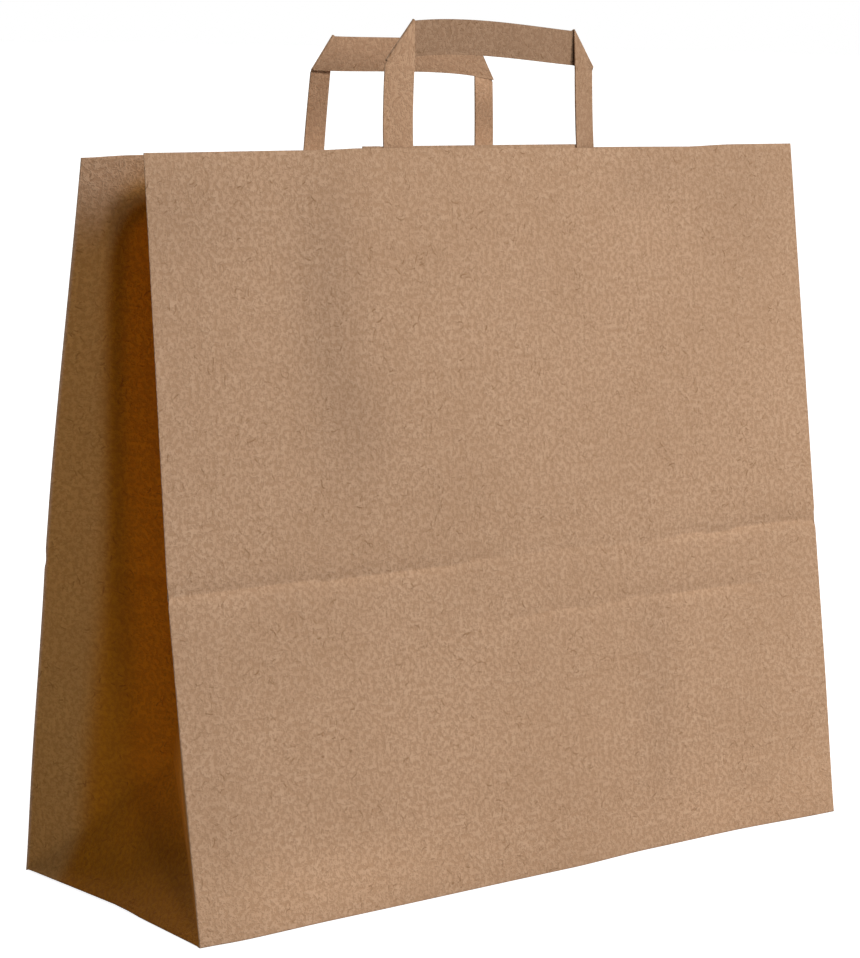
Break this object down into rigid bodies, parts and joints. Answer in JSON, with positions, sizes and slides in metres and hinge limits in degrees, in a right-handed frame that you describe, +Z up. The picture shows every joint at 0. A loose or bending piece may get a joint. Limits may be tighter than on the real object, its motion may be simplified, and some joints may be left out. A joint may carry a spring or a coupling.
{
  "type": "paper carrier bag",
  "caption": "Standing kraft paper carrier bag with folded side gussets, a block base and two flat folded paper handles glued inside its open mouth.",
  "frame": {"origin": "on the floor under the middle of the base", "axes": "+Z up; the wide front wall faces -Y; the folded gussets are at -X and +X"},
  "size_m": [0.5012, 0.1805, 0.5035],
  "materials": {
    "kraft_paper": "uncoated brown kraft with pressed fibres, matt",
    "kraft_strip": "layered brown kraft strip, matt"
  },
  "bodies": {
    "root": {"bag_body": "kraft_paper", "front_handle": "kraft_strip", "front_handle_patch": "kraft_paper", "rear_handle": "kraft_strip", "rear_handle_patch": "kraft_paper"}
  },
  "joints": []
}
